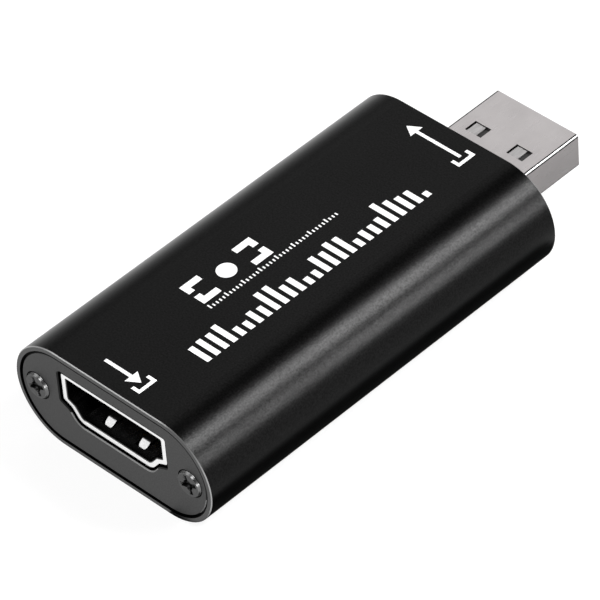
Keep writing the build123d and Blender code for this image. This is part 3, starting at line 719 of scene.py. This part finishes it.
# Painted shade and light: the walls deep inside are darkened to #080808, and the floor is painted a
# lighter #8c8c8c.
shaded_walls_and_lit_floor = add_node(
    tree,
    "ShaderNodeMix",
    {MIX_SHARE: lit_floor.outputs["Value"], MIX_A: linear("#080808"), MIX_B: linear("#8c8c8c")},
    data_type="RGBA",
)
add_node(
    tree,
    "ShaderNodeMix",
    {
        MIX_SHARE: inside.outputs["Result"],
        MIX_A: lip_and_shaded_rear.outputs[MIX_COLOUR],
        MIX_B: shaded_walls_and_lit_floor.outputs[MIX_COLOUR],
    },
    {MIX_COLOUR: shader.inputs["Base Color"]},
    data_type="RGBA",
)
print("lip at y", round(shell_low.y / MM, 2), "and its top at z", round(shell_high.z / MM, 2), "mm")

# %% [markdown]
# The four spring fingers are hard bronze strip with a bright tin plate. Rolling leaves fine lines
# along each strip, 0.08 mm wide, so the noise is stretched twelve times along the stick.

# %% Spring finger finish
spring, tree, shader, spot = new_finish("tin_plated_bronze", "#c0c0c0", 1.0, 0.3)
rolled = grain(tree, spot, 0.08 * MM, stretch=(1, 12, 1))
tree.links.new(two_tones(tree, rolled, "#a8a8a8", "#c4c4c4"), shader.inputs["Base Color"])
add_node(
    tree,
    "ShaderNodeBump",
    {"Height": rolled, "Distance": 0.002 * MM, "Strength": 0.4},
    {"Normal": shader.inputs["Normal"]},
)
finishes["spring_sheet"] = spring

# %% [markdown]
# ### The plug
#
# The plug's sleeve is rolled steel sheet with a satin nickel plate. The rolling lines run along the
# plug, 0.1 mm wide, and a little anisotropy blurs reflections across them, which is cheaper than
# lines deep enough to do it. The plate's tone wanders over patches 3 mm wide.

# %% Plug sleeve skin
ROLLING_LINES = 0.1 * MM
PLATE_CLOUDS = 3 * MM

sleeve, tree, shader, spot = new_finish(
    "rolled_nickel_plated_steel", "#a5a3a2", 1.0, 0.3, Anisotropic=0.3
)
lines = grain(tree, spot, ROLLING_LINES, stretch=(1, 30, 1))
clouds = grain(tree, spot, PLATE_CLOUDS)
flat_colour = two_tones(tree, clouds, "#aeaaaa", "#b4b0b0")
add_node(
    tree,
    "ShaderNodeMapRange",
    {"Value": lines, **NOISE_RANGE, "To Min": 0.27, "To Max": 0.33},
    {"Result": shader.inputs["Roughness"]},
)
add_node(
    tree,
    "ShaderNodeBump",
    {"Height": lines, "Distance": 0.002 * MM, "Strength": 0.3},
    {"Normal": shader.inputs["Normal"]},
)
finishes["plug_steel"] = sleeve

# %% [markdown]
# Each bend is painted with two dark lines, a painted dark reflection on either side of its
# highlight, and its middle is painted a mid grey that tones down the lamps' highlight there. A bend
# could be picked out by its place, but the normal finds all of them: only there does it point both
# sideways and up or down, so the smaller of the two parts is 0 on the flats and 0.7 on the middle of
# a bend.

# %% Plug sleeve bends, painted reflection lines
BEND_PART = 0.06
RIDGE_PART = 0.5

normal_parts = add_node(tree, "ShaderNodeSeparateXYZ", {"Vector": spot.outputs["Normal"]})
sideways = add_node(tree, "ShaderNodeMath", {0: normal_parts.outputs["X"]}, operation="ABSOLUTE")
upright = add_node(tree, "ShaderNodeMath", {0: normal_parts.outputs["Z"]}, operation="ABSOLUTE")
bent = add_node(
    tree,
    "ShaderNodeMath",
    {0: sideways.outputs["Value"], 1: upright.outputs["Value"]},
    operation="MINIMUM",
)
on_bend = add_node(
    tree, "ShaderNodeMath", {0: bent.outputs["Value"], 1: BEND_PART}, operation="GREATER_THAN"
)
on_ridge = add_node(
    tree, "ShaderNodeMath", {0: bent.outputs["Value"], 1: RIDGE_PART}, operation="GREATER_THAN"
)
# Painted reflection: dark lines beside each bend's middle (#303030), and a mid grey ridge (#7c7c7c).
painted_bend_reflections = add_node(
    tree,
    "ShaderNodeMix",
    {MIX_SHARE: on_ridge.outputs["Value"], MIX_A: linear("#303030"), MIX_B: linear("#7c7c7c")},
    data_type="RGBA",
)
sleeve_with_painted_bends = add_node(
    tree,
    "ShaderNodeMix",
    {
        MIX_SHARE: on_bend.outputs["Value"],
        MIX_A: flat_colour,
        MIX_B: painted_bend_reflections.outputs[MIX_COLOUR],
    },
    data_type="RGBA",
)
print("a bend starts where the smaller part of the normal is", BEND_PART)

# %% [markdown]
# The punched walls of the windows are painted nearly black, a painted shade in the window recesses.
# They face sideways, like the plug's own sides, but stand nearer to its middle, so the two tests
# together find them.

# %% Plug sleeve windows
WINDOW_REACH = 5 * MM
WALL_PART = 0.5

spot_parts = add_node(tree, "ShaderNodeSeparateXYZ", {"Vector": spot.outputs["Object"]})
from_middle = add_node(tree, "ShaderNodeMath", {0: spot_parts.outputs["X"]}, operation="ABSOLUTE")
near_middle = add_node(
    tree,
    "ShaderNodeMath",
    {0: from_middle.outputs["Value"], 1: WINDOW_REACH},
    operation="LESS_THAN",
)
wall = add_node(
    tree, "ShaderNodeMath", {0: sideways.outputs["Value"], 1: WALL_PART}, operation="GREATER_THAN"
)
shaded_window_walls = add_node(
    tree,
    "ShaderNodeMath",
    {0: near_middle.outputs["Value"], 1: wall.outputs["Value"]},
    operation="MULTIPLY",
)
# Painted shade: the window walls are darkened to #161616.
add_node(
    tree,
    "ShaderNodeMix",
    {
        MIX_SHARE: shaded_window_walls.outputs["Value"],
        MIX_A: sleeve_with_painted_bends.outputs[MIX_COLOUR],
        MIX_B: linear("#161616"),
    },
    {MIX_COLOUR: shader.inputs["Base Color"]},
    data_type="RGBA",
)
print("plug sleeve finish:", len(tree.nodes), "nodes")

# %% [markdown]
# Behind the windows lies the plug's moulded insulator. Its raised pads are pale and slightly
# streaked by the flow of the melt. The slab round them lies in shade, and that shade is painted: the
# slab gets a near-black colour, and a short ramp in height stands for the edge between pad and slab.

# %% Plug insulator finish
PAD_FOOT, PAD_EDGE = 0.12 * MM, 0.06 * MM
pad_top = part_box("usb_insulator")[1].z

insulator, tree, shader, spot = new_finish("moulded_polyester", "#a8a6a6", 0.0, 0.5, IOR=1.55)
spot_parts = add_node(tree, "ShaderNodeSeparateXYZ", {"Vector": spot.outputs["Object"]})
on_pad = add_node(
    tree,
    "ShaderNodeMapRange",
    {
        "Value": spot_parts.outputs["Z"],
        "From Min": pad_top - PAD_FOOT,
        "From Max": pad_top - PAD_EDGE,
    },
)
flow = grain(tree, spot, 0.4 * MM, stretch=(1, 4, 1))
pale = two_tones(tree, flow, "#8a8888", "#9c9a9a")
# Painted shade: below the pads the insulator is darkened to #1e1d1d.
add_node(
    tree,
    "ShaderNodeMix",
    {MIX_SHARE: on_pad.outputs["Result"], MIX_A: linear("#1e1d1d"), MIX_B: pale},
    {MIX_COLOUR: shader.inputs["Base Color"]},
    data_type="RGBA",
)
finishes["plug_plastic"] = insulator
print("insulator reaches z", round(pad_top / MM, 2), "mm")

# %% [markdown]
# ### The plastics and metals inside
#
# Few of these show through the openings, but each is finished as what it is, so that the stick can
# be opened up. The socket's tongue is a black polymer filled with glass fibres, which lie along the
# flow and leave a fine dull streak.

# %% Socket plastic
tongue, tree, shader, spot = new_finish("glass_filled_polymer", "#0d0d0d", 0.0, 0.55, IOR=1.55)
fibres = grain(tree, spot, 0.1 * MM, stretch=(1, 3, 1))
tree.links.new(two_tones(tree, fibres, "#0a0a0a", "#111111"), shader.inputs["Base Color"])
add_node(
    tree,
    "ShaderNodeBump",
    {"Height": fibres, "Distance": 0.003 * MM, "Strength": 0.5},
    {"Normal": shader.inputs["Normal"]},
)
finishes["socket_plastic"] = tongue

# %% [markdown]
# The contacts are bronze strip under a flash of gold, so thin that the strip's rolling lines still
# show as a fine brushing along them. The gold is a metal with its own colour, not a yellow paint.

# %% Gold contacts
gold, tree, shader, spot = new_finish("gold_flashed_bronze", "#d9b45a", 1.0, 0.25)
stamped = grain(tree, spot, 0.06 * MM, stretch=(1, 10, 1))
tree.links.new(two_tones(tree, stamped, "#cfa950", "#e0bd68"), shader.inputs["Base Color"])
add_node(
    tree,
    "ShaderNodeBump",
    {"Height": stamped, "Distance": 0.002 * MM, "Strength": 0.4},
    {"Normal": shader.inputs["Normal"]},
)
finishes["gold_contact"] = gold

# %% [markdown]
# The board's green is a lacquer over copper and glass cloth. Real copper runs would need a drawing
# of the whole circuit, so a brick pattern of 2.4 mm stands for them, lighter where copper lies
# under the lacquer. The cloth's weave, 0.5 mm a thread, shows faintly as a relief. A wave node's
# own stripes are 0.314 units apart, so its scale is that over the thread's size.

# %% Circuit board
THREAD = 0.5 * MM
WAVE_STRIPE = 0.314
COPPER_RUN = 2.4 * MM

board, tree, shader, spot = new_finish("solder_mask_on_glass_cloth", "#14522f", 0.0, 0.3, IOR=1.5)
add_node(
    tree,
    "ShaderNodeTexBrick",
    {
        "Vector": spot.outputs["Object"],
        "Color1": linear("#1d6b3f"),
        "Color2": linear("#14522f"),
        "Mortar": linear("#0f4226"),
        "Scale": 1 / COPPER_RUN,
        "Mortar Size": 0.12,
    },
    {"Color": shader.inputs["Base Color"]},
)
weave = add_node(
    tree, "ShaderNodeTexWave", {"Vector": spot.outputs["Object"], "Scale": WAVE_STRIPE / THREAD}
)
add_node(
    tree,
    "ShaderNodeBump",
    {"Height": weave.outputs["Fac"], "Distance": 0.004 * MM, "Strength": 0.4},
    {"Normal": shader.inputs["Normal"]},
)
finishes["board_laminate"] = board

# %% [markdown]
# The electronic components have the usual skins: moulded epoxy with a sandy surface, matt tin on
# leads and end caps, soft filled silicone, drawn nickel steel, pressed ferrite, and fired ceramics.
# All of them are plain colours with a fine grain, so one loop makes them from a table. Each row
# gives the slot, the name, the dark and light tone, metallic, roughness, and the grain's size. The
# relief is a twentieth of the grain.

# %% Component skins
GRAIN_TO_DEPTH = 20
SKINS = {
    "chip_epoxy": ("moulded_epoxy", "#1c1c1d", "#262627", 0.0, 0.55, 0.08 * MM),
    "lead_tin": ("matt_tin_plate", "#b8b8ba", "#c9c9cb", 1.0, 0.38, 0.12 * MM),
    "heat_pad": ("filled_silicone", "#8fa6b8", "#9db4c6", 0.0, 0.8, 0.3 * MM),
    "crystal_case": ("drawn_nickel_steel", "#b4b4b4", "#c2c2c2", 1.0, 0.28, 0.4 * MM),
    "ferrite": ("pressed_ferrite", "#3a3a3c", "#47474a", 0.0, 0.6, 0.15 * MM),
    "tan_ceramic": ("fired_tan_ceramic", "#a5805a", "#b58f68", 0.0, 0.45, 0.15 * MM),
    "black_ceramic": ("glazed_black_ceramic", "#252525", "#303030", 0.0, 0.3, 0.2 * MM),
}
for slot, (name, dark, light, metallic, roughness, size) in SKINS.items():
    skin, tree, shader, spot = new_finish(name, light, metallic, roughness)
    specks = grain(tree, spot, size)
    tree.links.new(two_tones(tree, specks, dark, light), shader.inputs["Base Color"])
    add_node(
        tree,
        "ShaderNodeBump",
        {"Height": specks, "Distance": size / GRAIN_TO_DEPTH, "Strength": 0.5},
        {"Normal": shader.inputs["Normal"]},
    )
    finishes[slot] = skin
print("finishes:", sorted(finishes))

# %% [markdown]
# ## Dressing the solids
#
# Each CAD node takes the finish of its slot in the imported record. A list of node names would do the
# same, but would have to be kept in step with the record.

# %% Assign the finishes
slot_of = {part["node"]: part["material_slot"] for part in frame["record"]["subparts"]}
for name, solid in solids.items():
    solid.data.materials.clear()
    solid.data.materials.append(finishes[slot_of[name]])
print("dressed", len(solids), "solids")

# %% [markdown]
# ## White ink
#
# The top is screen printed. A stencil mask in the housing's finish would be flat and blurred, while
# a mesh of plain outlines gives the ink its real body, a film 0.02 mm thick with crisp edges. The
# screen's mesh leaves a faint grain of 0.25 mm in it.

# %% Ink
ink, tree, shader, spot = new_finish("screen_ink", "#f4f4f4", 0.0, 0.5, IOR=1.5)
mesh_marks = grain(tree, spot, 0.25 * MM)
tree.links.new(two_tones(tree, mesh_marks, "#eeeeee", "#f7f7f7"), shader.inputs["Base Color"])
add_node(
    tree,
    "ShaderNodeBump",
    {"Height": mesh_marks, "Distance": 0.004 * MM, "Strength": 0.4},
    {"Normal": shader.inputs["Normal"]},
)

# %% [markdown]
# Each mark is a set of closed outlines, drawn flat in millimetres and then set on the housing's top
# face. The film's underside is sunk a little into the metal, so that no gap shows between them.

# %% Printing a mark
INK_FILM = 0.02 * MM
INK_SUNK = 0.005 * MM
top_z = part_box("housing_tube")[1].z


def print_mark(name, outlines):
    """A printed mark: closed outlines in millimetres, given the thickness of the film."""
    film = bmesh.new()
    for outline in outlines:
        low = [film.verts.new((x * MM, y * MM, top_z - INK_SUNK)) for x, y in outline]
        high = [film.verts.new((x * MM, y * MM, top_z + INK_FILM)) for x, y in outline]
        film.faces.new(list(reversed(low)))
        film.faces.new(high)
        for i in range(len(outline)):
            j = (i + 1) % len(outline)
            film.faces.new((low[i], low[j], high[j], high[i]))
    bmesh.ops.recalc_face_normals(film, faces=film.faces)
    mesh = bpy.data.meshes.new(name)
    film.to_mesh(mesh)
    film.free()
    mesh.materials.append(ink)
    mark = bpy.data.objects.new(name, mesh)
    bpy.context.scene.collection.objects.link(mark)
    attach(mark, "stick")
    print(name, "has", len(outlines), "outlines and", len(mesh.polygons), "faces")


def bar(x0, y0, x1, y1):
    """A rectangle between two corners."""
    return [(x0, y0), (x1, y0), (x1, y1), (x0, y1)]


print("the ink lies on z", round(top_z / MM, 2), "mm")

# %% [markdown]
# The marks are general signs that need no words. The socket's sign reads from the front: an arrow
# that goes into a bracket. The plug's sign reads from the rear, so the same drawing is turned half
# round and its arrow leaves the bracket. One function draws both, so that they look alike.

# %% Signs at the two ends
STROKE = 0.42
BRACKET_HALF_HEIGHT = 1.3
BRACKET_ARM = 0.8
HEAD_HALF_WIDTH, HEAD_LENGTH = 0.95, 1.5
ARROW_GAP = 1.0


def arrow_sign(middle, half_width, leaves):
    """A bracket and an arrow to the right that runs into it, or that leaves it."""
    side = -1 if leaves else 1
    outer, inner = side * half_width, side * (half_width - STROKE)
    arm_end = side * (half_width - STROKE - BRACKET_ARM)
    tip = half_width if leaves else half_width - ARROW_GAP
    tail = ARROW_GAP - half_width if leaves else -half_width
    neck = tip - HEAD_LENGTH
    sign = [
        bar(outer, -BRACKET_HALF_HEIGHT, inner, BRACKET_HALF_HEIGHT),
        bar(inner, -BRACKET_HALF_HEIGHT, arm_end, -BRACKET_HALF_HEIGHT + STROKE),
        bar(inner, BRACKET_HALF_HEIGHT - STROKE, arm_end, BRACKET_HALF_HEIGHT),
        bar(tail, -STROKE / 2, neck, STROKE / 2),
        [(neck, -HEAD_HALF_WIDTH), (tip, 0), (neck, HEAD_HALF_WIDTH)],
    ]
    turn = -1 if leaves else 1
    return [[(turn * x, middle + turn * y) for x, y in outline] for outline in sign]


print_mark("input_sign", arrow_sign(middle=-23.45, half_width=3.15, leaves=False))
print_mark("output_sign", arrow_sign(middle=23.5, half_width=4.45, leaves=True))

# %% [markdown]
# A picture frame's four corners round a dot say that the stick takes pictures. The corners are L
# shapes that mirror each other, and the dot is a disc of 48 sides, which looks round at this size.

# %% Picture frame corners
FRAME_X, FRAME_Y = (-5.0, -1.3), (-10.8, -0.4)
CORNER_STROKE = 0.85
CORNER_ARM_X, CORNER_ARM_Y = 1.5, 2.6
DOT_RADIUS = 1.15
DOT_SIDES = 48

frame_outlines = []
for x, x_in in ((FRAME_X[0], 1), (FRAME_X[1], -1)):
    for y, y_in in ((FRAME_Y[0], 1), (FRAME_Y[1], -1)):
        in_x, in_y = x + x_in * CORNER_STROKE, y + y_in * CORNER_STROKE
        end_x, end_y = x + x_in * CORNER_ARM_X, y + y_in * CORNER_ARM_Y
        frame_outlines.append(
            [(x, y), (end_x, y), (end_x, in_y), (in_x, in_y), (in_x, end_y), (x, end_y)]
        )
dot_x, dot_y = sum(FRAME_X) / 2, sum(FRAME_Y) / 2
dot_angles = [2 * math.pi * i / DOT_SIDES for i in range(DOT_SIDES)]
frame_outlines.append(
    [(dot_x + DOT_RADIUS * math.cos(a), dot_y + DOT_RADIUS * math.sin(a)) for a in dot_angles]
)
print_mark("picture_corners", frame_outlines)

# %% [markdown]
# The fine scale is a row of 39 ticks, 0.5 mm apart, and every fifth is longer, as on a ruler.

# %% Fine scale
TICKS = 39
TICK_START, TICK_STEP = -10.75, 0.5
TICK_FOOT = -0.22
TICK_HALF_WIDTH = 0.09
LONG_TICK, SHORT_TICK = 0.65, 0.4
LONG_EVERY = 5

tick_outlines = []
for i in range(TICKS):
    tick_y = TICK_START + TICK_STEP * i
    tick_end = TICK_FOOT - (LONG_TICK if i % LONG_EVERY == 0 else SHORT_TICK)
    tick_outlines.append(
        bar(tick_end, tick_y - TICK_HALF_WIDTH, TICK_FOOT, tick_y + TICK_HALF_WIDTH)
    )
print_mark("fine_scale", tick_outlines)

# %% [markdown]
# The level bars stand on a common line, like those of a sound meter. Their heights could be random,
# but two waves of different lengths keep any two neighbours apart and come out the same every time.

# %% Level bars
BARS = 27
BAR_START, BAR_STEP = -16.5, 1.28
BAR_FOOT = 5.2
BAR_FULL_LENGTH = 4.0
BAR_HALF_WIDTH = 0.35
MEAN_LEVEL, SLOW_SWING, FAST_SWING = 0.6, 0.25, 0.15
SLOW_TURN, FAST_TURN, FAST_START = 0.9, 2.3, 1

bar_outlines = []
for i in range(BARS):
    bar_y = BAR_START + BAR_STEP * i
    slow = SLOW_SWING * math.sin(SLOW_TURN * i)
    fast = FAST_SWING * math.sin(FAST_TURN * i + FAST_START)
    level = MEAN_LEVEL + slow + fast
    bar_end = BAR_FOOT - BAR_FULL_LENGTH * level
    bar_outlines.append(bar(bar_end, bar_y - BAR_HALF_WIDTH, BAR_FOOT, bar_y + BAR_HALF_WIDTH))
print_mark("level_bars", bar_outlines)
